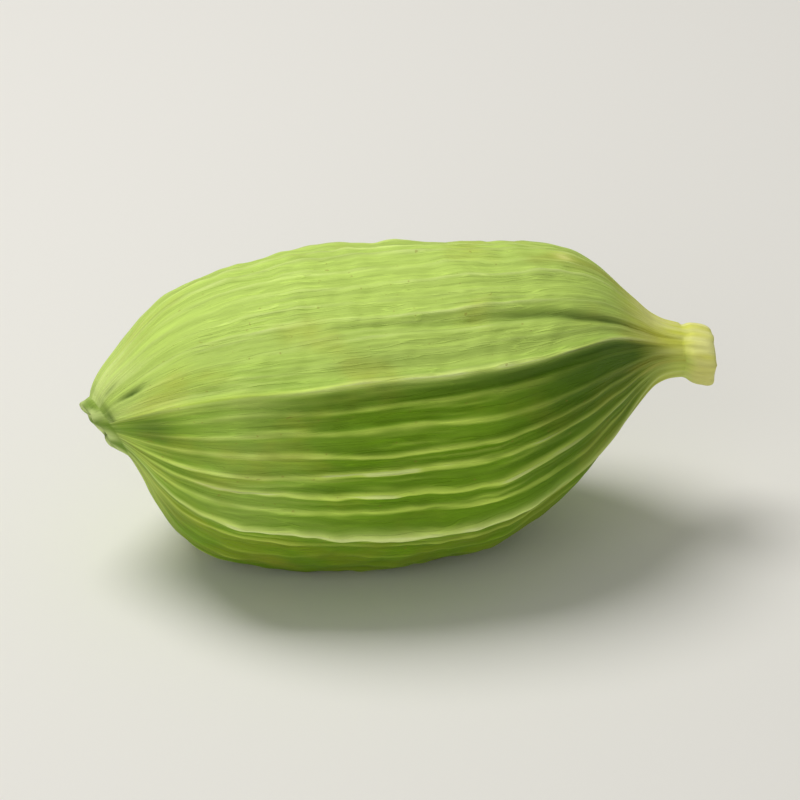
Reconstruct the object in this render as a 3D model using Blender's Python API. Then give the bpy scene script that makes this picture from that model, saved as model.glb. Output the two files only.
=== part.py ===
"""A dried green cardamom pod, lying on its side on a small flat spot.

The pod is one grown piece, so it is one object: a three-sided husk with raised
lengthwise ribs, the ragged collar that the flower left at its apex, and the cut
stub of its stalk, which ends in a flared rim round a small pit.

The pod's long axis is X, with the apex at -X and the stalk at +X. The front of
the pod faces -Y, and +Z is up. The origin is on the surface that the pod lies
on, under the middle of its box. Every length below is in millimetres.
"""

import math
import random

import bmesh
import bpy
import numpy as np
from mathutils import Vector, noise

MILLIMETRE = 0.001
SEED = 1922

# Half thickness of the husk at stations along its axis, from the apex to the neck.
HUSK_PROFILE = (
    (0.45, 0.78),
    (0.75, 1.36),
    (1.15, 1.98),
    (1.70, 2.66),
    (2.30, 3.14),
    (3.00, 3.46),
    (4.00, 3.71),
    (5.40, 3.93),
    (7.00, 3.97),
    (9.40, 3.79),
    (10.75, 3.42),
    (11.80, 2.97),
    (12.80, 2.23),
    (13.65, 1.36),
    (14.15, 0.90),
    (14.50, 0.74),
    (14.82, 0.68),
)

# The withered flower's collar at the apex, from its rim's crest in to the pit's floor.
FLOWER_RIM = ((0.30, 0.68), (0.17, 0.58), (0.20, 0.40), (0.40, 0.25))
FLOWER_LOBES = 5
FLOWER_LOBE_HEIGHT = 0.08
FLOWER_LOBE_FLARE = 0.5

# The sections near the apex lean over it: each one's upper edge stands nearer the apex
# than its lower edge, by this share of the height between them.
APEX_LEAN = (
    (0.20, 0.68),
    (0.45, 0.56),
    (0.75, 0.35),
    (1.15, 0.17),
    (1.70, 0.08),
    (3.00, 0.00),
)

# The stalk's flared rim and pit, from the neck out and in again.
STALK_RIM = (
    (14.94, 0.71),
    (15.06, 0.77),
    (15.26, 0.79),
    (15.46, 0.77),
    (15.58, 0.69),
    (15.58, 0.57),
    (15.48, 0.45),
    (15.26, 0.36),
    (15.06, 0.28),
)
STALK_RIM_WAVE = 0.05

# How far the axis is raised towards the upper back of the pod, at stations along it.
AXIS_RISE = (
    (0.00, 0.00),
    (8.00, 0.00),
    (9.40, 0.09),
    (10.70, 0.32),
    (11.80, 0.61),
    (12.80, 0.84),
    (13.80, 0.90),
    (14.60, 0.84),
    (15.60, 0.62),
)
RISE_TILT = math.radians(29.0)

# The six lines that divide the pod lengthwise, going up round it from its front: a keel
# at each corner of the three-sided section, and a seam between two keels. Each has its
# angle above the front at the apex and at the stalk in degrees, its height as a share
# of the half thickness, its width in degrees, and how much higher its own rib stands.
LINES = (
    (35.0, 38.0, 0.080, 15.0, 1.15),
    (94.0, 96.0, 0.022, 6.0, 1.60),
    (155.0, 150.0, 0.060, 16.0, 1.10),
    (215.0, 205.0, 0.030, 6.0, 1.20),
    (275.0, 262.0, 0.030, 17.0, 1.00),
    (348.0, 336.0, 0.060, 6.0, 1.80),
)
LINE_ROUND = math.radians(2.5)
RIBS_PER_LINE = 7
RIBS = len(LINES) * RIBS_PER_LINE

# Ribs are lower on the plump upper face and on the belly than on the front and back. Each
# is drawn higher or lower within the spread, and wanders a little round the pod.
RIB_HEIGHT = 0.15
RIB_WIDTH = 0.27  # of the space between two ribs
FACE_RIB_SHARE = (0.26, 0.40, 0.95, 1.00, 0.38, 1.00)
RIB_SPREAD = (0.45, 1.30)
RIB_WANDER = math.radians(2.2)
WANDER_LENGTH = 5.0

# Keels and ribs are lower at the apex, and reach their full height a little way along.
APEX_SHARE = 0.40
FULL_HEIGHT = (0.6, 4.2)

# A fold above the first keel deepens towards the stalk, and closes in on the keel there.
FOLD_DEPTH = 0.16
FOLD_WIDTH = math.radians(2.6)
FOLD_ABOVE_KEEL = (math.radians(20.0), math.radians(12.0))
FOLD_DEEPENS = (4.0, 10.5)
FOLD_CLOSES = (10.5, 13.0)

# Low swellings where the seeds press on the husk.
SWELL_HEIGHT = 0.10
SWELL_LENGTH = 2.6
SWELL_TURNS = 1.3

# The flat spot that the pod lies on: how far it is pressed into the belly, its middle and
# half of its sides along X and Y, and the slope of the belly's rise round it.
FLAT_DEPTH = 0.48
FLAT_MIDDLE = (-0.6, 0.1)
FLAT_HALF_SIDES = (2.1, 1.1)
FLAT_EDGE_SLOPE = 0.05

COLUMNS_PER_RIB = 3
HUSK_RINGS = 36

HUSK_GREEN = (0.36, 0.50, 0.11, 1.0)
HUSK_ROUGHNESS = 0.62


def clear_scene():
    for obj in list(bpy.data.objects):
        bpy.data.objects.remove(obj, do_unlink=True)


def eased(start, end, value):
    """0 up to start, 1 past end, and a smooth ramp between them."""
    share = min(1.0, max(0.0, (value - start) / (end - start)))
    return share * share * (3.0 - 2.0 * share)


class SmoothProfile:
    """A curve through stations that never overshoots them."""

    def __init__(self, stations):
        self.x, self.y = np.array(stations, float).T
        step = np.diff(self.x)
        slope = np.diff(self.y) / step
        inner = np.zeros(len(self.x) - 2)
        same_way = slope[:-1] * slope[1:] > 0.0
        before, after = slope[:-1][same_way], slope[1:][same_way]
        inner[same_way] = 2.0 * before * after / (before + after)
        self.tangent = np.concatenate([slope[:1], inner, slope[-1:]])

    def at(self, x):
        x = min(max(x, self.x[0]), self.x[-1])
        i = min(int(np.searchsorted(self.x, x, side="right")) - 1, len(self.x) - 2)
        step = self.x[i + 1] - self.x[i]
        t = (x - self.x[i]) / step
        start = self.y[i] * (1.0 + 2.0 * t) * (1.0 - t) ** 2
        end = self.y[i + 1] * t * t * (3.0 - 2.0 * t)
        leaving = self.tangent[i] * step * t * (1.0 - t) ** 2
        arriving = self.tangent[i + 1] * step * t * t * (t - 1.0)
        return float(start + end + leaving + arriving)


HUSK = SmoothProfile(HUSK_PROFILE)
RISE = SmoothProfile(AXIS_RISE)
LEAN = SmoothProfile(APEX_LEAN)
THICKEST = max(radius for _, radius in HUSK_PROFILE)
POD_LENGTH = max(along for along, _ in STALK_RIM)


def rib_heights():
    """The height of every rib, by number round the pod from the first keel up."""
    draw = random.Random(SEED)
    heights = []
    for number in range(RIBS):
        line, past_line = divmod(number, RIBS_PER_LINE)
        share = FACE_RIB_SHARE[line] * draw.uniform(*RIB_SPREAD)
        if past_line == 0:
            share = LINES[line][4] * max(FACE_RIB_SHARE[line - 1], FACE_RIB_SHARE[line])
        heights.append(RIB_HEIGHT * share)
    return heights


def rib_angle(number, along):
    """Where a rib runs round the pod, in radians above its front."""
    turns, number = divmod(number, RIBS)
    line, past_line = divmod(number, RIBS_PER_LINE)
    next_turn = 360.0 if line + 1 == len(LINES) else 0.0
    here, following = LINES[line], LINES[(line + 1) % len(LINES)]
    stalk_share = along / POD_LENGTH
    start = here[0] + (here[1] - here[0]) * stalk_share
    end = following[0] + (following[1] - following[0]) * stalk_share + next_turn
    degrees = start + (end - start) * past_line / RIBS_PER_LINE + 360.0 * turns
    wander = noise.noise(Vector((along / WANDER_LENGTH, number * 1.7, SEED)))
    return math.radians(degrees) + RIB_WANDER * wander


def full_height(along):
    """The share of their height that keels and ribs have reached."""
    return APEX_SHARE + (1.0 - APEX_SHARE) * eased(*FULL_HEIGHT, along)


def angle_between(one, other):
    return abs((one - other + math.pi) % (2.0 * math.pi) - math.pi)


def keels_and_seams(angle, along):
    """The corners of the three-sided section and the seams, as a share of its size."""
    total = 0.0
    for number, (_, _, height, width, _) in enumerate(LINES):
        line_angle = rib_angle(number * RIBS_PER_LINE, along)
        apart = math.hypot(angle_between(angle, line_angle), LINE_ROUND) - LINE_ROUND
        total += height * math.exp(-apart / math.radians(width))
    return total


def fold(angle, along):
    """The groove above the first keel."""
    closed = eased(*FOLD_CLOSES, along)
    above = FOLD_ABOVE_KEEL[0] + (FOLD_ABOVE_KEEL[1] - FOLD_ABOVE_KEEL[0]) * closed
    apart = angle_between(angle, rib_angle(0, along) + above) / FOLD_WIDTH
    return -FOLD_DEPTH * eased(*FOLD_DEEPENS, along) * math.exp(-apart * apart)


def rib_relief(place, heights):
    """How far the ribs beside a place round the pod raise it."""
    number = int(math.floor(place))
    share = place - number
    before = heights[number % RIBS] * math.exp(-((share / RIB_WIDTH) ** 2))
    after = heights[(number + 1) % RIBS] * math.exp(-(((1.0 - share) / RIB_WIDTH) ** 2))
    return before + after


def swelling(angle, along):
    here = Vector((along / SWELL_LENGTH, SWELL_TURNS * math.cos(angle), SWELL_TURNS * math.sin(angle)))
    return SWELL_HEIGHT * noise.noise(here)


def place_angle(place, along):
    """The angle of a place round the pod, between the ribs on both sides of it."""
    number = math.floor(place)
    share = place - number
    return (1.0 - share) * rib_angle(number, along) + share * rib_angle(number + 1, along)


def axis_point(along):
    """The pod's curved axis, in millimetres."""
    rise = RISE.at(along)
    return Vector((along, rise * math.sin(RISE_TILT), rise * math.cos(RISE_TILT)))


def surface_point(along, radius, angle):
    outward = radius * Vector((0.0, -math.cos(angle), math.sin(angle)))
    upward = outward.y * math.sin(RISE_TILT) + outward.z * math.cos(RISE_TILT)
    return axis_point(along) + outward - Vector((LEAN.at(along) * upward, 0.0, 0.0))


def husk_ring(along, columns_per_rib, heights):
    """One ring of the ribbed husk."""
    size = HUSK.at(along)
    share = size / THICKEST
    reached = full_height(along)
    ring = []
    for column in range(RIBS * columns_per_rib):
        place = column / columns_per_rib
        angle = place_angle(place, along)
        corners = reached * keels_and_seams(angle, along)
        relief = reached * rib_relief(place, heights) + fold(angle, along)
        radius = size * (1.0 + corners) + share * (relief + swelling(angle, along))
        ring.append(surface_point(along, radius, angle))
    return ring


def flower_ring(along, radius):
    """One ring of the flower's collar, whose rim is torn into lobes."""
    ring = []
    for number in range(RIBS):
        angle = rib_angle(number, along)
        lobe = FLOWER_LOBE_HEIGHT * math.sin(FLOWER_LOBES * angle + math.sin(2.0 * angle))
        ring.append(surface_point(along + lobe, radius * (1.0 + FLOWER_LOBE_FLARE * lobe), angle))
    return ring


def stalk_ring(along, radius):
    """One ring of the stalk's flared rim, which isn't quite round."""
    ring = []
    for number in range(RIBS):
        angle = rib_angle(number, along)
        wave = STALK_RIM_WAVE * (math.sin(2.0 * angle + 0.6) + 0.6 * math.sin(5.0 * angle))
        ring.append(surface_point(along, radius * (1.0 + wave), angle))
    return ring


def pod_rings():
    """Every ring of the pod's surface, from the flower's pit to the stalk's pit."""
    heights = rib_heights()
    first, last = HUSK_PROFILE[0][0], HUSK_PROFILE[-1][0]
    rings = [flower_ring(along, radius) for along, radius in reversed(FLOWER_RIM)]
    rings.append(husk_ring(first, 1, heights))
    for step in range(1, HUSK_RINGS):
        # Rings stand closer together where the profile bends, at both ends.
        share = 0.5 - 0.5 * math.cos(math.pi * step / HUSK_RINGS)
        rings.append(husk_ring(first + share * (last - first), COLUMNS_PER_RIB, heights))
    rings.append(husk_ring(last, 1, heights))
    rings += [stalk_ring(along, radius) for along, radius in STALK_RIM]
    return rings


def beyond_flat(point):
    """How far a point is from the flat spot, seen from below."""
    x = max(0.0, abs(point.x - FLAT_MIDDLE[0]) - FLAT_HALF_SIDES[0])
    y = max(0.0, abs(point.y - FLAT_MIDDLE[1]) - FLAT_HALF_SIDES[1])
    return math.hypot(x, y)


def press_ring(ring):
    """Raises a ring's lowest points to the flat spot, and sets one on each of its sides."""
    pressed = [point for point in ring if point.z < 0.0]
    for point in pressed:
        point.z = 0.0
    if pressed and abs(ring[0].x - FLAT_MIDDLE[0]) < FLAT_HALF_SIDES[0]:
        for side in (-FLAT_HALF_SIDES[1], FLAT_HALF_SIDES[1]):
            edge = FLAT_MIDDLE[1] + side
            nearest = min(pressed, key=lambda point: abs(point.y - edge))
            nearest.y = edge
    for point in ring:
        point.z = max(point.z, FLAT_EDGE_SLOPE * beyond_flat(point))


def press_flat(rings):
    """Presses the belly flat where the pod lies, and sets the origin under its middle."""
    points = [point for ring in rings for point in ring]
    lows = [min(point[axis] for point in points) for axis in range(3)]
    highs = [max(point[axis] for point in points) for axis in range(3)]
    origin = Vector(((lows[0] + highs[0]) / 2.0, (lows[1] + highs[1]) / 2.0, lows[2] + FLAT_DEPTH))
    for point in points:
        point -= origin
    for ring in rings:
        press_ring(ring)
    return rings


def bridge(mesh, ring, following):
    """Faces between two rings, of which one may have several columns to the other's one."""
    if len(ring) == len(following):
        for i in range(len(ring)):
            j = (i + 1) % len(ring)
            mesh.faces.new((ring[i], ring[j], following[j], following[i]))
        return
    coarse, fine = (ring, following) if len(ring) < len(following) else (following, ring)
    per_side = len(fine) // len(coarse)
    for i in range(len(coarse)):
        corner, next_corner = coarse[i], coarse[(i + 1) % len(coarse)]
        side = [fine[(i * per_side + k) % len(fine)] for k in range(per_side + 1)]
        half = (per_side + 1) // 2
        faces = [(corner, side[k + 1], side[k]) for k in range(half)]
        faces.append((corner, next_corner, side[half]))
        faces += [(next_corner, side[k + 1], side[k]) for k in range(half, per_side)]
        for face in faces:
            mesh.faces.new(face if coarse is ring else tuple(reversed(face)))


def husk_material():
    material = bpy.data.materials.new("husk")
    material.use_nodes = True
    shader = material.node_tree.nodes["Principled BSDF"]
    shader.inputs["Base Color"].default_value = HUSK_GREEN
    shader.inputs["Roughness"].default_value = HUSK_ROUGHNESS
    shader.inputs["Metallic"].default_value = 0.0
    return material


def make_pod():
    mesh = bmesh.new()
    rings = [
        [mesh.verts.new(point * MILLIMETRE) for point in ring] for ring in press_flat(pod_rings())
    ]
    for ring, following in zip(rings, rings[1:]):
        bridge(mesh, ring, following)
    mesh.faces.new(tuple(reversed(rings[0])))
    mesh.faces.new(tuple(rings[-1]))
    bmesh.ops.recalc_face_normals(mesh, faces=mesh.faces)
    data = bpy.data.meshes.new("cardamom_pod")
    mesh.to_mesh(data)
    mesh.free()
    data.shade_smooth()
    data.materials.append(husk_material())
    pod = bpy.data.objects.new("cardamom_pod", data)
    bpy.context.scene.collection.objects.link(pod)
    return pod


def main():
    clear_scene()
    make_pod()


main()
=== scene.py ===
"""The looks of the green cardamom pod: its husk, with every rib and wrinkle in its mesh.

The skin repeats the part's own shape from the same named values, on a much finer mesh, and
adds fine ribs, wrinkles and torn edges. Masks that are worked out with the shape tell the
material where the crests, the pale upper face, the stalk and the two hollows are, and where
painted light and shade go: the upper face is painted paler as if lit from above, the crests and
keels carry painted highlights, and the hollows under the keel, in the fold and creases and below
the stalk carry painted shade. Lengths are in millimetres until a mesh is made from them.
"""

import functools
import math
import random

import bpy
import numpy as np
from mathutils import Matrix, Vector, noise


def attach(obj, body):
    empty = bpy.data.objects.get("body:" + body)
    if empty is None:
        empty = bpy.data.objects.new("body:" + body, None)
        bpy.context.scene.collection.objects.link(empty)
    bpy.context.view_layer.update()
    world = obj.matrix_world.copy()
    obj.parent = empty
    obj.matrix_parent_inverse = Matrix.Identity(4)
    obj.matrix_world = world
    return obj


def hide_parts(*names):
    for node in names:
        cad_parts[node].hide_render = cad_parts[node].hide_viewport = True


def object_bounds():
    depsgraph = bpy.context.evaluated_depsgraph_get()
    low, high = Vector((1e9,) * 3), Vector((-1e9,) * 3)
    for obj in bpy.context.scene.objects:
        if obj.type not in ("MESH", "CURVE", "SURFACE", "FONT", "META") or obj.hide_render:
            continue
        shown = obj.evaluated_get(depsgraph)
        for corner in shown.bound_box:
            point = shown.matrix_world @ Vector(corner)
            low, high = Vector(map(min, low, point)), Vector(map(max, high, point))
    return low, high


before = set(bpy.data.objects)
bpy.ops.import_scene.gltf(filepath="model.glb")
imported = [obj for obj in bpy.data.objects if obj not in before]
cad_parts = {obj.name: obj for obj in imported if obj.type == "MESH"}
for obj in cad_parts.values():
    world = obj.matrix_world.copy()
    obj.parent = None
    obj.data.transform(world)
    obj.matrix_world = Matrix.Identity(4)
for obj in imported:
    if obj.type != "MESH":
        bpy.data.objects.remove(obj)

MILLIMETRE = 0.001
SEED = 1922

# The part's own shape, from here to RIBS, as its source has it.
HUSK_PROFILE = (
    (0.45, 0.78),
    (0.75, 1.36),
    (1.15, 1.98),
    (1.70, 2.66),
    (2.30, 3.14),
    (3.00, 3.46),
    (4.00, 3.71),
    (5.40, 3.93),
    (7.00, 3.97),
    (9.40, 3.79),
    (10.75, 3.42),
    (11.80, 2.97),
    (12.80, 2.23),
    (13.65, 1.36),
    (14.15, 0.90),
    (14.50, 0.74),
    (14.82, 0.68),
)
FLOWER_RIM = ((0.30, 0.68), (0.17, 0.58), (0.20, 0.40), (0.40, 0.25))
FLOWER_LOBES = 5
FLOWER_LOBE_HEIGHT = 0.08
FLOWER_LOBE_FLARE = 0.5
APEX_LEAN = (
    (0.20, 0.68),
    (0.45, 0.56),
    (0.75, 0.35),
    (1.15, 0.17),
    (1.70, 0.08),
    (3.00, 0.00),
)
STALK_RIM = (
    (14.94, 0.71),
    (15.06, 0.77),
    (15.26, 0.79),
    (15.46, 0.77),
    (15.58, 0.69),
    (15.58, 0.57),
    (15.48, 0.45),
    (15.26, 0.36),
    (15.06, 0.28),
)
STALK_RIM_WAVE = 0.05
AXIS_RISE = (
    (0.00, 0.00),
    (8.00, 0.00),
    (9.40, 0.09),
    (10.70, 0.32),
    (11.80, 0.61),
    (12.80, 0.84),
    (13.80, 0.90),
    (14.60, 0.84),
    (15.60, 0.62),
)
RISE_TILT = math.radians(29.0)
LINES = (
    (35.0, 38.0, 0.080, 15.0, 1.15),
    (94.0, 96.0, 0.022, 6.0, 1.60),
    (155.0, 150.0, 0.060, 16.0, 1.10),
    (215.0, 205.0, 0.030, 6.0, 1.20),
    (275.0, 262.0, 0.030, 17.0, 1.00),
    (348.0, 336.0, 0.060, 6.0, 1.80),
)
LINE_ROUND = math.radians(2.5)
RIBS_PER_LINE = 7
RIB_HEIGHT = 0.15
RIB_WIDTH = 0.27
FACE_RIB_SHARE = (0.26, 0.40, 0.95, 1.00, 0.38, 1.00)
RIB_SPREAD = (0.45, 1.30)
RIB_WANDER = math.radians(2.2)
WANDER_LENGTH = 5.0
APEX_SHARE = 0.40
FULL_HEIGHT = (0.6, 4.2)
FOLD_DEPTH = 0.16
FOLD_WIDTH = math.radians(2.6)
FOLD_ABOVE_KEEL = (math.radians(20.0), math.radians(12.0))
FOLD_DEEPENS = (4.0, 10.5)
FOLD_CLOSES = (10.5, 13.0)
SWELL_HEIGHT = 0.10
SWELL_LENGTH = 2.6
SWELL_TURNS = 1.3
FLAT_DEPTH = 0.48
FLAT_MIDDLE = (-0.6, 0.1)
FLAT_HALF_SIDES = (2.1, 1.1)
FLAT_EDGE_SLOPE = 0.05
RIBS = len(LINES) * RIBS_PER_LINE

# The skin's mesh.
COLUMNS_PER_RIB = 9
HUSK_RINGS = 190
FLOWER_RINGS = 26
STALK_RINGS = 34
FLOWER_PIT = ((0.80, 0.05), (0.74, 0.14), (0.60, 0.21))
STALK_PIT = ((14.80, 0.24), (14.66, 0.16), (14.62, 0.05))

# Noise that changes the skin: its height, and how many ribs wide and how long its lumps are.
# The first five change ribs, as shares of a rib's height or of the gap between ribs.
RIB_FADE = (0.40, 1.3, 2.4)
RIB_BEADS = (0.36, 0.9, 0.6)
RIB_MEANDER = (0.28, 2.6, 2.0)
HALF_RIB_WANDER = (0.30, 2.0, 2.0)
FINE_RIB_WANDER = (0.90, 1.8, 2.4)
SHRIVEL = (0.085, 2.0, 1.3)
WRINKLES = (0.045, 0.8, 0.45)
ROUGH_SKIN = (0.016, 0.35, 0.30)
COLLAR_TEAR = (0.05, 2.6, 0.6)
COLLAR_CRUMPLE = (0.08, 3.0, 0.5)
STALK_FIBRES = (0.05, 0.9, 0.8)
STALK_LUMPS = (0.06, 2.5, 0.5)
STALK_TEAR = (0.09, 2.2, 3.0)

# Noise that says how strong something is from place to place, as above.
HALF_RIB_STRENGTH = (1.6, 1.0, 2.2)
FINE_RIB_STRENGTH = (1.3, 1.1, 2.6)
DRY_PATCHES = (2.2, 0.9, 1.1)
PALE_FIBRES = (0.6, 1.6, 1.4)
IVORY_EDGE = (0.15, 2.0, 0.5)

# Ribs that the skin adds, and the collar's folds.
# The pale line on a rib is paler fibre with a painted highlight on it.
CREST_WIDTH = 0.17  # of the pale line on a rib, in ribs
HALF_RIB_SHARE = 0.32
FINE_RIBS_PER_RIB = 3
FINE_RIB_HEIGHT = 0.036
COLLAR_FOLDS = 7
COLLAR_FOLD_DEPTH = 0.04
COLLAR_RIM_WIDTH = 0.20

# Creases where the husk puckers beside the flower's collar: the place round the pod in
# ribs, the place along it, half of the width in ribs, half of the length, and the depth.
CREASES = (
    (0.9, 0.50, 2.60, 0.075, 0.20),
    (2.3, 1.05, 0.26, 0.230, 0.17),
    (4.3, 0.74, 0.30, 0.150, 0.09),
    (12.0, 1.10, 0.28, 0.260, 0.06),
    (19.0, 0.95, 0.28, 0.240, 0.07),
    (27.0, 0.50, 2.00, 0.075, 0.10),
)
DARK_CREASE = 0.17  # the depth from which a crease is fully dark

# Places round the pod, in ribs above the first keel. Two values are where something starts
# and is full, and four are also where it starts to fade and is gone.
LOWER_SEAM = 35.0
FIRST_KEEL = float(RIBS)
FRONT = (34.5, 35.5)
DARK_FRONT = (37.0, 40.0)
GREEN_FRONT = (34.5, 36.0, 41.4, 42.0)
BELLY = (27.0, 29.0, 34.0, 35.0)
UNDERSIDE = (28.0, 34.0, 38.0, 41.5)
UPPER_FACE = (-0.4, 0.6, 13.0, 16.0)
UPPER_FACE_EDGE = (41.75, 42.0)
BACK = (13.0, 16.0, 24.0, 30.0)

# Places along the pod, as above.
TIP = (0.6, 2.2)
FLOWER_COLOUR = (0.45, 0.65)
MEANDER = (0.8, 3.0)
SOFT_KEEL = (3.2, 6.4)
FOLD_DARKENS = (8.5, 11.5)
HOLLOW_FRONT = (8.8, 11.8, 14.2, 14.8)
STALK_COLOUR = (12.7, 14.2)
NECK = (12.8, 14.4)
STALK_FLARES = (14.8, 15.2)

# Bands that fade away from their middle, each with its middle and its reach: round the pod in
# ribs, and along it.
LOWER_SEAM_LINE = (LOWER_SEAM, 0.22)
FIRST_KEEL_LINE = (FIRST_KEEL, 0.30)
PLAIN_BELLY = (31.5, 2.2)
PLAIN_UNDER_KEEL = (40.3, 1.3)
PALE_FRONT_TIP = (3.2, 1.6)
BLURRED_KEEL = (3.0, 2.4)

# Spots of colour: the place round the pod and its reach, and the place along it and its reach.
# A spot of painted shade under the first keel at the tip.
DARK_TIP = (40.6, 1.3, 1.25, 0.5)
# A small pale straw spot high on the shoulder is a painted highlight.
PAINTED_HIGHLIGHT_SPOT = (6.6, 0.32, 11.85, 0.28)

# Streaks of colour: the place round the pod and its reach, then where along the pod the
# streak starts, is full, starts to fade and is gone.
# The streaks under and above the first keel are painted shade.
UNDER_KEEL = (41.5, 0.5, 2.5, 5.0, 14.0, 14.7)
UNDER_KEEL_DARKER = (41.5, 0.5, 7.5, 11.0, 14.0, 14.7)
ABOVE_KEEL = (0.9, 0.3, 5.0, 7.0, 12.0, 13.5)
DRY_SHOULDER = (6.7, 0.9, 11.9, 12.5, 16.0, 17.0)
DRY_FRONT = (38.6, 1.0, 11.6, 13.4, 16.0, 17.0)

# Colours, as 0 to 255 screen values. A pair is a groove's and a crest's.
# The upper face's colours are the side colours painted paler: painted light from above, with the
# sides left as painted shade.
SIDE_COLOURS = ((114, 156, 12), (212, 240, 98))
LIT_TOP_COLOURS = ((192, 220, 104), (224, 241, 150))
STRAW_COLOURS = ((230, 232, 80), (255, 255, 162))
# The tan of the drier patches also paints shade below the stalk.
DRY_AND_SHADE_COLOURS = ((160, 154, 42), (220, 214, 100))
IVORY_COLOURS = ((124, 156, 54), (210, 230, 142))
# The keels' whiter line is partly their own pale edge and partly a painted highlight.
KEEL_HIGHLIGHT_COLOUR = (238, 250, 172)
OLIVE = (184, 180, 60)
PAINTED_SHADE_GREEN = (58, 90, 4)
# The deep green paints shade under the keel, in the fold, in the creases and near the stalk.
TAN = (146, 124, 50)
HOLLOW_BROWN = (92, 78, 36)

# Noise in the husk's material, in lumps to a rib round the pod, twice, and to a millimetre.
STREAKS = (2.2, 2.2, 0.35)
THREADS = (7.0, 7.0, 0.9)
PATCHES = (0.30, 0.30, 0.40)
SPECKS = (4.5, 4.5, 6.5)
VEINS = (2.6, 2.6, 0.30)
VEIN_REACH = 0.030

HUSK_SPECULAR = 0.24
HUSK_ROUGHNESS = (0.74, 0.54)  # where the streaks are dark, and where they are light
THREAD_DEPTH = 0.04
THREAD_STRENGTH = 0.6

CAMERA_AZIMUTH = math.radians(-9.0)
CAMERA_ELEVATION = math.radians(29.0)
CAMERA_LENS = 300.0  # its sensor is 36 wide
POD_SHARE_OF_FRAME = 0.80

# Each softbox: its place, how wide it is, its power in watts and its colour.
KEY_LIGHT = ((-40.0, 35.0, 120.0), 80.0, 0.118, (1.0, 0.985, 0.95))
FRONT_LIGHT = ((-60.0, -110.0, 60.0), 110.0, 0.040, (1.0, 0.99, 0.95))
LIGHT_TARGET = (0.0, 0.0, 4.0)
STUDIO_COLOUR = (1.0, 0.99, 0.96, 1.0)
STUDIO_STRENGTH = 0.26

FLOOR_SIZE = 1.2  # metres
FLOOR_COLOUR = (0.84, 0.83, 0.80, 1.0)
FLOOR_ROUGHNESS = 0.85
FLOOR_SPECULAR = 0.2


def eased(start, end, value):
    """0 up to start, 1 past end, and a smooth ramp between them."""
    share = np.clip((value - start) / (end - start), 0.0, 1.0)
    return share * share * (3.0 - 2.0 * share)


def band(value, starts, full, fades, gone):
    """1 from full to fades, 0 before it starts and once it is gone, and a ramp between."""
    return eased(starts, full, value) * (1.0 - eased(fades, gone, value))


class SmoothProfile:
    """A curve through stations that never overshoots them."""

    def __init__(self, stations):
        self.x, self.y = np.array(stations, float).T
        step = np.diff(self.x)
        slope = np.diff(self.y) / step
        inner = np.zeros(len(self.x) - 2)
        same_way = slope[:-1] * slope[1:] > 0.0
        before, after = slope[:-1][same_way], slope[1:][same_way]
        inner[same_way] = 2.0 * before * after / (before + after)
        self.tangent = np.concatenate([slope[:1], inner, slope[-1:]])

    def at(self, x):
        x = np.clip(x, self.x[0], self.x[-1])
        i = np.clip(np.searchsorted(self.x, x, side="right") - 1, 0, len(self.x) - 2)
        step = self.x[i + 1] - self.x[i]
        t = (x - self.x[i]) / step
        start = self.y[i] * (1.0 + 2.0 * t) * (1.0 - t) ** 2
        end = self.y[i + 1] * t * t * (3.0 - 2.0 * t)
        leaving = self.tangent[i] * step * t * (1.0 - t) ** 2
        arriving = self.tangent[i + 1] * step * t * t * (t - 1.0)
        return start + end + leaving + arriving


HUSK = SmoothProfile(HUSK_PROFILE)
RISE = SmoothProfile(AXIS_RISE)
LEAN = SmoothProfile(APEX_LEAN)
THICKEST = max(radius for _, radius in HUSK_PROFILE)
POD_LENGTH = max(along for along, _ in STALK_RIM)


def noise_at(points):
    """Smooth noise from about -1 to 1 at every point of an array."""
    values = [noise.noise(point) for point in points.reshape(-1, 3).tolist()]
    return np.array(values).reshape(points.shape[:-1])


def grain(place, along, across, length, seed):
    """Noise that closes on itself round the pod, in lumps so many ribs across and so long."""
    turn = 2.0 * math.pi * place / RIBS
    reach = RIBS / (2.0 * math.pi * across)
    around = (reach * np.cos(turn) + 13.7 * seed, reach * np.sin(turn))
    slanted = along / length + 0.37 * seed + 0.8 * np.sin(turn + seed)
    return noise_at(np.stack(np.broadcast_arrays(*around, slanted), axis=-1))


def rib_heights():
    """The height of every rib, by number round the pod from the first keel up."""
    draw = random.Random(SEED)
    heights = []
    for number in range(RIBS):
        line, past_line = divmod(number, RIBS_PER_LINE)
        share = FACE_RIB_SHARE[line] * draw.uniform(*RIB_SPREAD)
        if past_line == 0:
            share = LINES[line][4] * max(FACE_RIB_SHARE[line - 1], FACE_RIB_SHARE[line])
        heights.append(RIB_HEIGHT * share)
    return np.array(heights)


def rib_angle(number, along):
    """Where a rib runs round the pod, in radians above its front, at an array of stations."""
    turns, number = divmod(number, RIBS)
    line, past_line = divmod(number, RIBS_PER_LINE)
    next_turn = 360.0 if line + 1 == len(LINES) else 0.0
    here, following = LINES[line], LINES[(line + 1) % len(LINES)]
    stalk_share = along / POD_LENGTH
    start = here[0] + (here[1] - here[0]) * stalk_share
    end = following[0] + (following[1] - following[0]) * stalk_share + next_turn
    degrees = start + (end - start) * past_line / RIBS_PER_LINE + 360.0 * turns
    stations = np.stack(np.broadcast_arrays(along / WANDER_LENGTH, number * 1.7, SEED), axis=-1)
    return np.radians(degrees) + RIB_WANDER * noise_at(stations)


def full_height(along):
    """The share of their height that keels and ribs have reached."""
    return APEX_SHARE + (1.0 - APEX_SHARE) * eased(*FULL_HEIGHT, along)


def angle_between(one, other):
    return np.abs((one - other + math.pi) % (2.0 * math.pi) - math.pi)


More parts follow.
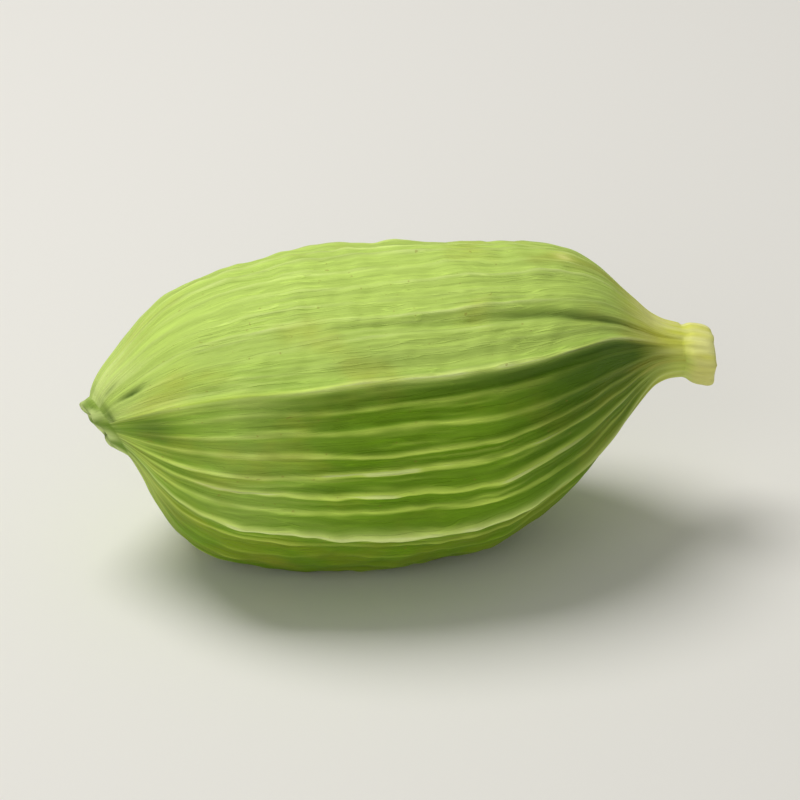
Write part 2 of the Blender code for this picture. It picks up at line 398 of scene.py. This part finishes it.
def column_angles(along, place):
    """The angle of every column at every ring, between the ribs on both sides of it."""
    ribs = np.array([rib_angle(number, along) for number in range(RIBS + 1)])
    number = np.floor(place).astype(int)
    share = place - number
    return ((1.0 - share)[:, None] * ribs[number] + share[:, None] * ribs[number + 1]).T


def keels_and_seams(angle, along):
    """The corners of the three-sided section and the seams, as a share of its size."""
    total = 0.0
    for number, (_, _, height, width, _) in enumerate(LINES):
        line_angle = rib_angle(number * RIBS_PER_LINE, along)[:, None]
        apart = np.hypot(angle_between(angle, line_angle), LINE_ROUND) - LINE_ROUND
        total = total + height * np.exp(-apart / math.radians(width))
    return total


def fold(angle, along):
    """The groove above the first keel."""
    closed = eased(*FOLD_CLOSES, along)
    above = FOLD_ABOVE_KEEL[0] + (FOLD_ABOVE_KEEL[1] - FOLD_ABOVE_KEEL[0]) * closed
    line_angle = (rib_angle(0, along) + above)[:, None]
    apart = angle_between(angle, line_angle) / FOLD_WIDTH
    return -FOLD_DEPTH * eased(*FOLD_DEEPENS, along)[:, None] * np.exp(-apart * apart)


def rib_relief(place, heights, width=RIB_WIDTH):
    """How far the ribs on both sides of each place raise it."""
    number = np.floor(place).astype(int)
    share = place - number
    before = heights[number % RIBS] * np.exp(-((share / width) ** 2))
    after = heights[(number + 1) % RIBS] * np.exp(-(((1.0 - share) / width) ** 2))
    return before + after


def swelling(angle, along):
    lengthwise = np.broadcast_to(along[:, None] / SWELL_LENGTH, angle.shape)
    around = (SWELL_TURNS * np.cos(angle), SWELL_TURNS * np.sin(angle))
    return SWELL_HEIGHT * noise_at(np.stack([lengthwise, *around], axis=-1))


def surface_points(along, radius, angle):
    """Points of the pod's surface, before it is pressed flat and set on its origin."""
    rise = RISE.at(along)
    across = -radius * np.cos(angle)
    above = radius * np.sin(angle)
    upward = across * math.sin(RISE_TILT) + above * math.cos(RISE_TILT)
    x = along - LEAN.at(along) * upward
    y = across + rise * math.sin(RISE_TILT)
    z = above + rise * math.cos(RISE_TILT)
    return np.stack(np.broadcast_arrays(x, y, z), axis=-1)


def uneven(place, along, lumps, seed):
    """Noise with the height, width and length that lumps gives."""
    height, across, length = lumps
    return height * grain(place, along, across, length, seed)


def living_ribs(place, along):
    """The part's ribs as they grew, each meandering, swelling and fading along its way, with
    weaker ones between them here and there, and 0 to 1.2 of how far a place is on the pale
    crest of one."""
    meandered = place + uneven(place, along, RIB_MEANDER, seed=20) * eased(*MEANDER, along)
    change = 1.0 + uneven(place, along, RIB_FADE, seed=1)
    change = change + uneven(place, along, RIB_BEADS, seed=13)
    between = meandered + 0.5 + uneven(place, along, HALF_RIB_WANDER, seed=21)
    here_and_there = 0.6 + uneven(place, along, HALF_RIB_STRENGTH, seed=22)
    there = HALF_RIB_SHARE * np.clip(here_and_there, 0.0, 1.2)
    heights = rib_heights()
    half_ribs = rib_relief(between, heights, CREST_WIDTH) * there
    ribs = rib_relief(meandered, heights) * change + half_ribs
    evened = np.sqrt(heights / RIB_HEIGHT)
    crest = rib_relief(meandered, evened, CREST_WIDTH) * change + half_ribs / RIB_HEIGHT
    plain_belly = 0.55 * near(place, *PLAIN_BELLY)
    plain_under_keel = 0.35 * near(place, *PLAIN_UNDER_KEEL)
    plain = strongest(0.30 * upper_face(place), plain_belly, plain_under_keel)
    plain = plain * (1.0 - first_keel(place, 0.5))
    return ribs, np.clip(crest * (1.0 - plain), 0.0, 1.2)


def fine_ribs(place, along):
    """Fibres that run between the ribs and beside them, each fading in and out."""
    phase = place * FINE_RIBS_PER_RIB + uneven(place, along, FINE_RIB_WANDER, seed=2)
    crest = (0.5 + 0.5 * np.cos(2.0 * math.pi * phase)) ** 2
    strength = 0.55 + uneven(place, along, FINE_RIB_STRENGTH, seed=3)
    return crest * np.clip(strength, 0.0, 1.3)


def near(value, middle, reach):
    """1 at the middle, and less away from it."""
    return np.exp(-(((value - middle) / reach) ** 2))


def strongest(*masks):
    """The strongest of some masks at every place."""
    return functools.reduce(np.maximum, masks)


def spot(place, along, middle, reach, station, length):
    """1 in the middle of a spot on the husk, and less away from it."""
    return near(place, middle, reach) * near(along, station, length)


def streak(place, along, middle, reach, *stations):
    """1 in the middle of a streak along the husk, and less beside it."""
    return near(place, middle, reach) * band(along, *stations)


def first_keel(place, reach):
    """1 on the keel that shows along the pod's front, and less away from it."""
    return near((place + 0.5 * RIBS) % RIBS, 0.5 * RIBS, reach)


def puckered(place, along):
    """How deep the creases beside the collar are, and 0 to 1 of how much they shade it."""
    depth, shade = 0.0, 0.0
    for where, station, reach, length, deepest in CREASES:
        here = spot(place, along, where, reach, station, length)
        depth = depth + deepest * here
        shade = np.maximum(shade, here * min(1.0, deepest / DARK_CREASE))
    return depth, shade


def face_masks(place, along, folded):
    """Where the husk is pale, where it is deep green, and where it is drier and tan, away from
    what its ribs do to it. The pale upper face is painted light from above, and the deep green is
    painted shade under and above the first keel, in the fold, at the tip and in the hollow near
    the stalk.
    """
    front = eased(*FRONT, place)
    # The front is paler near the tip.
    pale_front_tip = 0.42 * front * near(along, *PALE_FRONT_TIP)
    # The keels are painted paler: partly their own pale edge, partly a painted highlight.
    keels = 0.6 * np.maximum(near(place, *LOWER_SEAM_LINE), near(place, *FIRST_KEEL_LINE))
    blurred = 0.40 * first_keel(place - 0.7, 1.1) * near(along, *BLURRED_KEEL)
    # The pale upper face is painted light from above.
    pale = strongest(upper_face(place) - blurred, keels, pale_front_tip)

    # Painted shade: a deeper green under and above the first keel, in the hollow near the stalk,
    # at the tip and along the fold.
    under_keel = 0.4 * streak(place, along, *UNDER_KEEL)
    under_keel = under_keel + 0.6 * streak(place, along, *UNDER_KEEL_DARKER)
    above_keel = 0.25 * streak(place, along, *ABOVE_KEEL)
    hollowed = front * (0.50 + 0.30 * eased(*DARK_FRONT, place)) * band(along, *HOLLOW_FRONT)
    at_tip = 0.7 * spot(place, along, *DARK_TIP)
    folded = folded * (0.30 + 0.50 * eased(*FOLD_DARKENS, along))
    deep = strongest(under_keel, above_keel, hollowed, at_tip, folded)

    patchy = 0.5 + uneven(place, along, DRY_PATCHES, seed=30)
    shoulder = 0.6 * streak(place, along, *DRY_SHOULDER)
    dry_front = 0.9 * streak(place, along, *DRY_FRONT)
    dry_and_shade = strongest(shoulder, dry_front) + 0.35 * band(place, *BELLY)
    return pale, deep, dry_and_shade * (0.25 + 0.75 * np.clip(patchy, 0.0, 1.0))


def softened(place, along, crest):
    """The crests' mask, blurred into broad fibres at both ends and on the first keel's tip."""
    neck = eased(*NECK, along)
    tip = 0.7 * (1.0 - eased(*TIP, along))
    keel = 0.8 * first_keel(place, 0.8) * (1.0 - eased(*SOFT_KEEL, along))
    return crest + (soft_fibres(place, along) - crest) * strongest(neck, keel, tip)


def straw_share(place, along):
    """How far the husk has turned straw-coloured. There is less of it on the underside, and it
    begins later on the green front, which keeps painted shade there.
    """
    begun = eased(*STALK_COLOUR, along - 0.6 * band(place, *GREEN_FRONT))
    return (0.82 - 0.40 * underside(place)) * begun


def ivory_share(place, along):
    """How far the husk's tip has turned as pale as the collar, up to a ragged edge."""
    ragged = along + uneven(place, along, IVORY_EDGE, seed=33)
    return 0.55 * (1.0 - eased(*FLOWER_COLOUR, ragged))


def round_curve(stations, count):
    """Points on a smooth curve through stations, as arrays of places along and radii."""
    points = np.array(stations, float)
    before = 2.0 * points[0] - points[1]
    after = 2.0 * points[-1] - points[-2]
    points = np.vstack([before, points, after])
    t = np.linspace(0.0, len(stations) - 1.0, count)
    i = np.minimum(t.astype(int), len(stations) - 2)
    t = (t - i)[:, None]
    a, b, c, d = points[i], points[i + 1], points[i + 2], points[i + 3]
    curve = b + 0.5 * t * (c - a + t * (2 * a - 5 * b + 4 * c - d + t * (3 * (b - c) + d - a)))
    return curve.T


def husk_rings(place):
    """The ribbed husk, and its masks."""
    first, last = HUSK_PROFILE[0][0], HUSK_PROFILE[-1][0]
    along = np.linspace(first, last, HUSK_RINGS)
    column = along[:, None]
    angle = column_angles(along, place)
    ribs, crest = living_ribs(place, column)
    fibres = fine_ribs(place, column)
    creases, creased = puckered(place, column)
    folded = fold(angle, along)

    reached = full_height(column) * (1.0 - 0.85 * eased(*NECK, column))
    relief = reached * ribs + folded - creases + swelling(angle, along)
    relief = relief + FINE_RIB_HEIGHT * (fibres - 0.4)
    for seed, lumps in enumerate((SHRIVEL, WRINKLES, ROUGH_SKIN), 4):
        relief = relief + uneven(place, column, lumps, seed)
    size = HUSK.at(along)[:, None]
    corners = reached * keels_and_seams(angle, along)
    radius = size * (1.0 + corners) + size / THICKEST * relief

    pale, deep, dry_and_shade = face_masks(place, column, -folded / FOLD_DEPTH)
    # A painted highlight: a small pale straw spot on the shoulder.
    highlight_spot = 0.65 * spot(place, column, *PAINTED_HIGHLIGHT_SPOT)
    crest = softened(place, column, crest) + 0.30 * (fibres - 0.4) + highlight_spot
    masks = {
        "crest": np.clip(crest, 0.0, 1.2),
        "pale": pale,
        # The creases add painted shade to the deep green.
        "deep": np.maximum(deep, creased),
        "dry_and_shade": dry_and_shade,
        "stalk": np.maximum(straw_share(place, column), highlight_spot),
        "flower": ivory_share(place, column),
        "hollow": 0.0,
    }
    return surface_points(column, radius, angle), masks, column


def flower_rings(place):
    """The withered flower's torn collar and the hollow in it, from its floor out."""
    stations = FLOWER_PIT + tuple(reversed(FLOWER_RIM)) + (HUSK_PROFILE[0],)
    along, radius = round_curve(stations, FLOWER_RINGS + 1)
    along, radius = along[:-1, None], radius[:-1, None]
    angle = column_angles(along[:, 0], place)
    rim = near(along, FLOWER_RIM[1][0], COLLAR_RIM_WIDTH)
    lobe = FLOWER_LOBE_HEIGHT * np.sin(FLOWER_LOBES * angle + np.sin(2.0 * angle))
    tear = uneven(place, along, COLLAR_TEAR, seed=8)
    folds = COLLAR_FOLD_DEPTH * np.sin(COLLAR_FOLDS * angle + 3.0 * along)
    folds = folds + uneven(place, along, COLLAR_CRUMPLE, seed=9)
    along_torn = along + rim * (0.4 * lobe + tear)
    flared = radius * (1.0 + FLOWER_LOBE_FLARE * lobe + rim * folds)
    points = surface_points(along_torn, flared, angle)
    masks = {
        # Darker down in the collar's folds and lighter on their ridges: painted shade and painted
        # light.
        "crest": np.clip(0.20 + 0.4 * rim + 7.0 * folds, 0.0, 1.0),
        "pale": upper_face(place),
        "deep": 0.0,
        "dry_and_shade": 0.0,
        "stalk": 0.0,
        "flower": 0.55 + 0.45 * rim,
        "hollow": 1.0 - eased(0.20, 0.44, radius),
    }
    return points, masks, along


def stalk_rings(place):
    """The stalk's flared rim and the hollow in its cut end, down to its floor."""
    stations = (HUSK_PROFILE[-1],) + STALK_RIM + STALK_PIT
    along, radius = round_curve(stations, STALK_RINGS + 1)
    along, radius = along[1:, None], radius[1:, None]
    angle = column_angles(along[:, 0], place)
    flare = eased(0.60, 0.74, radius)
    grown = eased(*STALK_FLARES, along)
    wave = STALK_RIM_WAVE * (np.sin(2.0 * angle + 0.6) + 0.6 * np.sin(5.0 * angle))
    fibres = uneven(place, along, STALK_FIBRES, seed=10)
    fibres = fibres + uneven(place, along, STALK_LUMPS, seed=11)
    fibres = fibres * (0.3 + 0.7 * grown)
    torn = flare * uneven(place, along, STALK_TEAR, seed=12)
    points = surface_points(along + torn, radius * (1.0 + wave + fibres), angle)
    end_face = np.arange(len(along))[:, None] > len(along) // 2
    masks = {
        "crest": np.clip(soft_fibres(place, along) + (0.2 + 4.0 * fibres) * grown, 0.0, 1.0),
        "pale": upper_face(place),
        "deep": 0.0,
        # Below the stalk, the tan and the weaker straw are painted shade.
        "dry_and_shade": 0.5 * underside(place) * grown,
        "stalk": 1.0 - (0.18 + 0.40 * underside(place)) * (1.0 - grown),
        "flower": 0.0,
        "hollow": end_face * (1.0 - eased(0.32, 0.60, radius)),
    }
    return points, masks, along


def upper_face(place):
    """1 on the plump upper face, between its two keels, and less on the other faces. The husk is
    painted paler there: painted light from above.
    """
    upper = np.maximum(band(place, *UPPER_FACE), eased(*UPPER_FACE_EDGE, place))
    return upper + 0.45 * band(place, *BACK)


def soft_fibres(place, along):
    """How pale the broad, soft fibres of the stalk and the tip are."""
    return 0.62 + uneven(place, along, PALE_FIBRES, seed=31)


def underside(place):
    """1 below the front of the stalk, 0 above it and behind."""
    return band(place, *UNDERSIDE)


def pressed_flat(points):
    """The belly pressed flat where the pod lies, and the origin under the pod's middle."""
    low, high = points.min(axis=0), points.max(axis=0)
    middle = 0.5 * (low + high)
    moved = points - (middle[0], middle[1], low[2] + FLAT_DEPTH)
    beyond = np.maximum(np.abs(moved[:, :2] - FLAT_MIDDLE) - FLAT_HALF_SIDES, 0.0)
    moved[:, 2] = np.maximum(moved[:, 2], FLAT_EDGE_SLOPE * np.hypot(*beyond.T))
    return moved


def make_skin():
    """The whole pod as one closed mesh, with its masks as attributes."""
    place = np.arange(RIBS * COLUMNS_PER_RIB) / COLUMNS_PER_RIB
    stretches = [flower_rings(place), husk_rings(place), stalk_rings(place)]
    points = np.concatenate([stretch[0] for stretch in stretches])
    rings, columns = points.shape[:2]
    flat_points = pressed_flat(points.reshape(-1, 3))

    corner = np.arange(rings * columns).reshape(rings, columns)
    ring, following = corner[:-1], corner[1:]
    ring_turned, following_turned = np.roll(ring, -1, axis=1), np.roll(following, -1, axis=1)
    quads = np.stack([ring, following, following_turned, ring_turned], axis=-1)
    faces = quads.reshape(-1, 4).tolist() + [corner[0].tolist(), corner[-1, ::-1].tolist()]
    mesh = bpy.data.meshes.new("husk_skin")
    mesh.from_pydata((flat_points * MILLIMETRE).tolist(), [], faces)
    mesh.shade_smooth()

    for name in stretches[0][1]:
        shapes = [(stretch[1][name], stretch[0].shape[:2]) for stretch in stretches]
        values = np.concatenate([np.broadcast_to(value, shape) for value, shape in shapes])
        add_mask(mesh, name, values)
    along = np.concatenate([np.broadcast_to(s[2], s[0].shape[:2]) for s in stretches])
    turn = np.broadcast_to(2.0 * math.pi * place / RIBS, (rings, columns))
    reach = RIBS / (2.0 * math.pi)
    fibre = np.stack([reach * np.cos(turn), reach * np.sin(turn), along], axis=-1)
    attribute = mesh.attributes.new("fibre", "FLOAT_VECTOR", "POINT")
    attribute.data.foreach_set("vector", fibre.astype(np.float32).ravel())
    place_piece("husk_skin", mesh, husk_material())


def add_mask(mesh, name, values):
    attribute = mesh.attributes.new(name, "FLOAT", "POINT")
    attribute.data.foreach_set("value", np.asarray(values, np.float32).ravel())


def place_piece(name, mesh, material):
    """Links a mesh as a piece that rides with the pod and replaces it, with the given material."""
    piece = bpy.data.objects.new(name, mesh)
    mesh.materials.append(material)
    bpy.context.scene.collection.objects.link(piece)
    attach(piece, "root")
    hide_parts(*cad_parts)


def new_material(name, roughness, specular):
    material = bpy.data.materials.new(name)
    material.use_nodes = True
    shader = material.node_tree.nodes["Principled BSDF"]
    shader.inputs["Roughness"].default_value = roughness
    shader.inputs["Specular IOR Level"].default_value = specular
    return material, material.node_tree, shader


def add_node(tree, kind, inputs, output=0, **settings):
    """Adds a node, sets or links its inputs, and gives the socket of one of its outputs."""
    made = tree.nodes.new(kind)
    for name, value in settings.items():
        setattr(made, name, value)
    for name, value in inputs.items():
        if isinstance(value, bpy.types.NodeSocket):
            tree.links.new(value, made.inputs[name])
        else:
            made.inputs[name].default_value = value
    return made.outputs[output]


def mask(tree, name):
    return add_node(tree, "ShaderNodeAttribute", {}, "Fac", attribute_name=name)


def colour_mix(tree, share, one, other):
    """The first colour where share is 0, and the other where it is 1."""
    settings = {"data_type": "RGBA", "clamp_factor": True}
    inputs = {0: share, 6: one, 7: other}
    return add_node(tree, "ShaderNodeMix", inputs, 2, **settings)


def groove_to_crest(tree, rib_light, colours):
    """The first of two colours in the grooves, and the other on the ribs' crests."""
    groove, crest = colours
    return colour_mix(tree, rib_light, rgb(groove), rgb(crest))


def ramp(tree, value, start, end):
    """0 up to start, 1 past end."""
    inputs = {"Value": value, "From Min": start, "From Max": end}
    return add_node(tree, "ShaderNodeMapRange", inputs, interpolation_type="SMOOTHSTEP")


def times(tree, one, other):
    return add_node(tree, "ShaderNodeMath", {0: one, 1: other}, operation="MULTIPLY")


def stretched_noise(tree, vector, stretch, detail, roughness=0.55):
    """Noise on a vector that is first multiplied by stretch, so 1 is a lump per unit."""
    inputs = {0: vector, 1: stretch}
    scaled = add_node(tree, "ShaderNodeVectorMath", inputs, operation="MULTIPLY")
    inputs = {"Vector": scaled, "Scale": 1.0, "Detail": detail, "Roughness": roughness}
    return add_node(tree, "ShaderNodeTexNoise", inputs, "Fac")


def shaded(tree, colour, value, dark, light):
    """The colour, darkened where value is low and lightened where it is high."""
    inputs = {"Value": value, "From Min": 0.3, "From Max": 0.7, "To Min": dark, "To Max": light}
    share = add_node(tree, "ShaderNodeMapRange", inputs)
    inputs = {"Vector": colour, "Scale": share}
    return add_node(tree, "ShaderNodeVectorMath", inputs, operation="SCALE")


def lines_of(tree, value, reach):
    """1 on the winding lines where a noise is at its middle, 0 farther than reach from it."""
    away = add_node(tree, "ShaderNodeMath", {0: value, 1: 0.5}, operation="SUBTRACT")
    away = add_node(tree, "ShaderNodeMath", {0: away}, operation="ABSOLUTE")
    return ramp(tree, away, reach, 0.0)


def rgb(screen_values):
    """A colour from its 0 to 255 screen values."""
    channels = np.array(screen_values) / 255.0
    linear = np.where(channels <= 0.04045, channels / 12.92, ((channels + 0.055) / 1.055) ** 2.4)
    return (*linear.tolist(), 1.0)


def husk_material():
    """Dry plant fibre: pale crests, deep green grooves, straw at the stalk, brown hollows."""
    dark_roughness, light_roughness = HUSK_ROUGHNESS
    material, tree, shader = new_material("husk_skin", dark_roughness, HUSK_SPECULAR)
    fibre = add_node(tree, "ShaderNodeAttribute", {}, "Vector", attribute_name="fibre")
    streaks = stretched_noise(tree, fibre, STREAKS, detail=4.0, roughness=0.6)
    threads = stretched_noise(tree, fibre, THREADS, detail=5.0, roughness=0.7)
    patches = stretched_noise(tree, fibre, PATCHES, detail=3.0)
    specks = stretched_noise(tree, fibre, SPECKS, detail=1.0)
    veins = stretched_noise(tree, fibre, VEINS, detail=2.0, roughness=0.5)
    veins = lines_of(tree, veins, VEIN_REACH)

    # Crests take the paler colour of each pair: paler fibre, partly a painted highlight.
    rib_light = ramp(tree, mask(tree, "crest"), 0.0, 1.0)
    side = groove_to_crest(tree, rib_light, SIDE_COLOURS)
    lit_top = groove_to_crest(tree, rib_light, LIT_TOP_COLOURS)
    # Paler on the upper face and darker on the sides: painted light from above.
    green = colour_mix(tree, mask(tree, "pale"), side, lit_top)
    # A whiter line on the tallest keels: partly their pale edge, partly a painted highlight.
    keel_highlight = times(tree, ramp(tree, mask(tree, "crest"), 0.85, 1.15), 0.6)
    green = colour_mix(tree, keel_highlight, green, rgb(KEEL_HIGHLIGHT_COLOUR))

    olive = ramp(tree, patches, 0.50, 0.72)
    green = colour_mix(tree, times(tree, olive, 0.35), green, rgb(OLIVE))
    green = shaded(tree, green, streaks, 0.84, 1.12)
    green = shaded(tree, green, threads, 0.86, 1.10)
    pale_veins = times(tree, veins, ramp(tree, patches, 0.62, 0.40))
    green = shaded(tree, green, pale_veins, 1.0, 1.14)
    # Painted shade: the deep green mask.
    green = colour_mix(tree, times(tree, mask(tree, "deep"), 0.85), green, rgb(PAINTED_SHADE_GREEN))
    tan = ramp(tree, specks, 0.73, 0.79)
    green = colour_mix(tree, times(tree, tan, 0.40), green, rgb(TAN))

    straw = groove_to_crest(tree, rib_light, STRAW_COLOURS)
    straw = shaded(tree, straw, threads, 0.92, 1.06)
    dry_and_shade = groove_to_crest(tree, rib_light, DRY_AND_SHADE_COLOURS)
    ivory = groove_to_crest(tree, rib_light, IVORY_COLOURS)
    colour = colour_mix(tree, mask(tree, "stalk"), green, straw)
    # Tan patches, and below the stalk the same tan as painted shade.
    colour = colour_mix(tree, times(tree, mask(tree, "dry_and_shade"), 0.70), colour, dry_and_shade)
    colour = colour_mix(tree, mask(tree, "flower"), colour, ivory)
    colour = colour_mix(tree, mask(tree, "hollow"), colour, rgb(HOLLOW_BROWN))
    tree.links.new(colour, shader.inputs["Base Color"])

    inputs = {"Value": streaks, "To Min": dark_roughness, "To Max": light_roughness}
    dull = add_node(tree, "ShaderNodeMapRange", inputs)
    tree.links.new(dull, shader.inputs["Roughness"])

    height = add_node(tree, "ShaderNodeMath", {0: times(tree, veins, 0.5), 1: threads})
    inputs = {"Height": height, "Strength": THREAD_STRENGTH, "Distance": THREAD_DEPTH * MILLIMETRE}
    bump = add_node(tree, "ShaderNodeBump", inputs)
    tree.links.new(bump, shader.inputs["Normal"])
    return material


def make_floor():
    half = 0.5 * FLOOR_SIZE
    mesh = bpy.data.meshes.new("floor")
    corners = [(-half, -half, 0.0), (half, -half, 0.0), (half, half, 0.0), (-half, half, 0.0)]
    mesh.from_pydata(corners, [], [(0, 1, 2, 3)])
    material, _, shader = new_material("floor", FLOOR_ROUGHNESS, FLOOR_SPECULAR)
    shader.inputs["Base Color"].default_value = FLOOR_COLOUR
    mesh.materials.append(material)
    floor = bpy.data.objects.new("floor", mesh)
    bpy.context.scene.collection.objects.link(floor)


def aim(thing, target):
    """Turns a camera or a light, which look along their own -Z, towards a point."""
    direction = Vector(target) - thing.location
    thing.rotation_euler = direction.to_track_quat("-Z", "Y").to_euler()


def make_softbox(name, place, size, power, colour):
    """A round area light that looks at the pod. Its place and size are in millimetres."""
    light = bpy.data.lights.new(name, "AREA")
    light.shape = "DISK"
    light.size = size * MILLIMETRE
    light.energy = power
    light.color = colour
    softbox = bpy.data.objects.new(name, light)
    softbox.location = Vector(place) * MILLIMETRE
    bpy.context.scene.collection.objects.link(softbox)
    aim(softbox, Vector(LIGHT_TARGET) * MILLIMETRE)


def make_light():
    make_softbox("key", *KEY_LIGHT)
    make_softbox("front", *FRONT_LIGHT)
    world = bpy.data.worlds.new("studio")
    world.use_nodes = True
    background = world.node_tree.nodes["Background"]
    background.inputs["Color"].default_value = STUDIO_COLOUR
    background.inputs["Strength"].default_value = STUDIO_STRENGTH
    bpy.context.scene.world = world


def make_camera():
    low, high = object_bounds()
    middle = (low + high) / 2.0
    data = bpy.data.cameras.new("camera")
    data.lens = CAMERA_LENS
    data.clip_start = 0.001
    width = (high.x - low.x) / POD_SHARE_OF_FRAME
    distance = width * CAMERA_LENS / data.sensor_width
    flat = math.cos(CAMERA_ELEVATION)
    sideways = math.sin(CAMERA_AZIMUTH) * flat
    forward = -math.cos(CAMERA_AZIMUTH) * flat
    back = Vector((sideways, forward, math.sin(CAMERA_ELEVATION)))
    camera = bpy.data.objects.new("camera", data)
    camera.location = middle + back * distance
    bpy.context.scene.collection.objects.link(camera)
    aim(camera, middle)
    bpy.context.scene.camera = camera


def main():
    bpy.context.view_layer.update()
    make_camera()
    make_skin()
    make_floor()
    make_light()
    bpy.context.scene.view_settings.view_transform = "Standard"


main()
